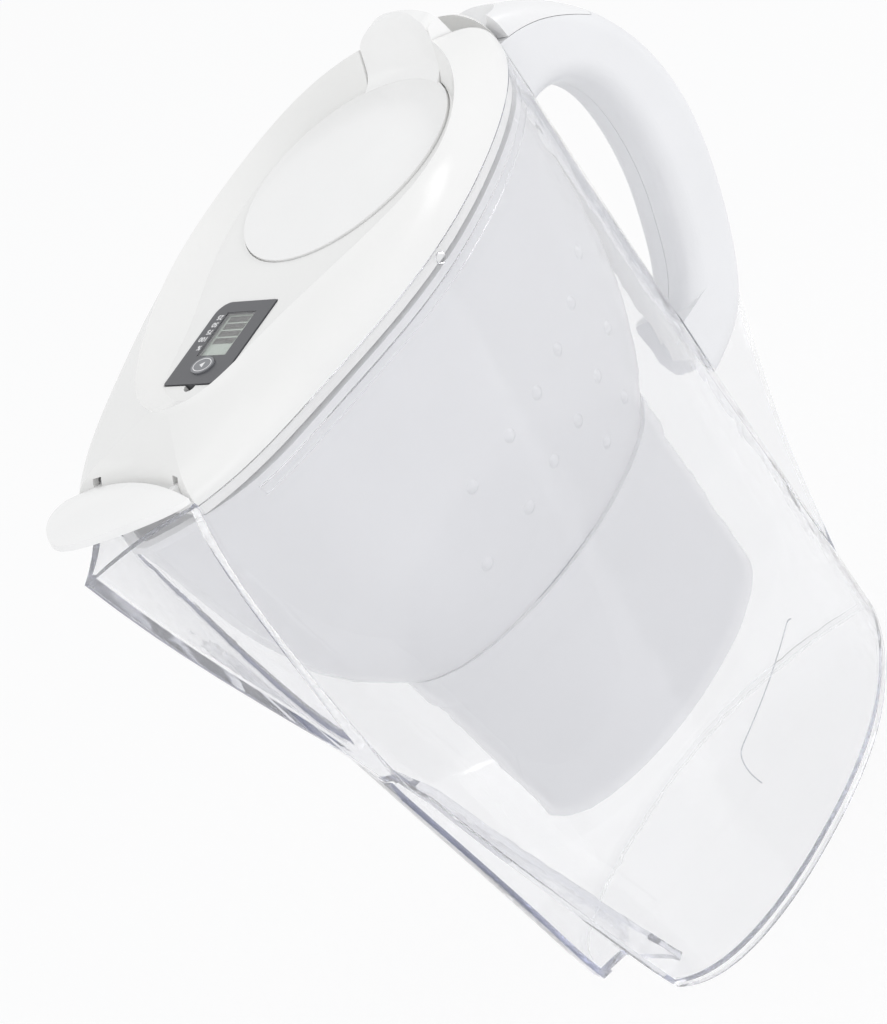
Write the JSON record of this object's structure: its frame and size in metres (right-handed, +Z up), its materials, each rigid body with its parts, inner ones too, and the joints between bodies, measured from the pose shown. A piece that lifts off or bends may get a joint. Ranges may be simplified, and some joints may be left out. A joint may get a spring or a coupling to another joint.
{
  "type": "water filter pitcher",
  "caption": "Narrow clear water filter pitcher with a white side handle, a hanging milky funnel with filter cartridge, and a white lid with refill flap, spout flap and indicator.",
  "frame": {"origin": "middle of the overall box at the foot of the jug", "axes": "+Z up, -X towards the spout, +X towards the handle, Y across the pitcher"},
  "size_m": [0.266, 0.1066, 0.2723],
  "materials": {
    "clear_plastic": "clear, polished",
    "milky_plastic": "milky, satin",
    "white_plastic": "glossy",
    "handle_plastic": "satin",
    "cartridge_plastic": "satin",
    "silicone": "matte",
    "sieve_mesh": "woven mesh",
    "granules": "loose grains",
    "grey_plastic": "satin",
    "button_plastic": "satin",
    "window_plastic": "clear, polished",
    "display_glass": "reflective display",
    "board": "satin",
    "spring_steel": "bright"
  },
  "bodies": {
    "jug": {"jug_body": "clear_plastic", "handle_cap": "white_plastic", "handle_shell_left": "handle_plastic", "handle_shell_right": "handle_plastic"},
    "funnel": {"funnel": "milky_plastic"},
    "cartridge": {"cartridge_housing": "cartridge_plastic", "cartridge_cap": "cartridge_plastic", "cartridge_seal_ring": "silicone", "cartridge_top_sieve": "sieve_mesh", "cartridge_bottom_sieve": "sieve_mesh", "filter_granules": "granules"},
    "lid": {"lid_shell": "white_plastic"},
    "refill_flap": {"refill_flap": "white_plastic"},
    "spout_flap": {"spout_flap": "white_plastic"},
    "indicator": {"indicator_bezel": "grey_plastic", "indicator_window": "window_plastic", "lcd_panel": "display_glass", "lcd_connector": "silicone", "button_dome": "spring_steel", "circuit_board": "board", "button_cell": "spring_steel", "battery_contact": "spring_steel", "indicator_seal": "silicone", "indicator_back_cover": "grey_plastic"},
    "start_button": {"start_button": "button_plastic"}
  },
  "joints": [
    {"name": "funnel_lift", "type": "slide", "parent": "jug", "child": "funnel", "axis": [0, 0, 1], "range_m": [0, 0.19]},
    {"name": "lid_lift", "type": "slide", "parent": "funnel", "child": "lid", "axis": [0, 0, 1], "range_m": [0, 0.2]},
    {"name": "cartridge_lift", "type": "slide", "parent": "funnel", "child": "cartridge", "axis": [0, 0, 1], "range_m": [0, 0.16]},
    {"name": "refill_flap_hinge", "type": "hinge", "parent": "lid", "child": "refill_flap", "pos_m": [0.0665, 0, 0.2562], "axis": [0, 1, 0], "range_deg": [0, 75]},
    {"name": "spout_flap_hinge", "type": "hinge", "parent": "lid", "child": "spout_flap", "pos_m": [-0.0955, 0, 0.247], "axis": [0, 1, 0], "range_deg": [-18, 18]},
    {"name": "indicator_lift", "type": "slide", "parent": "lid", "child": "indicator", "axis": [0, 0, 1], "range_m": [0, 0.02]},
    {"name": "start_button_press", "type": "slide", "parent": "indicator", "child": "start_button", "axis": [0, 0, -1], "range_m": [0, 0.0005], "stiffness_N_per_m": 600, "springref_m": -0.0005}
  ],
  "couplings": [
    {"joint": "cartridge_lift", "follows": "lid_lift", "ratio": 0.8}
  ]
}
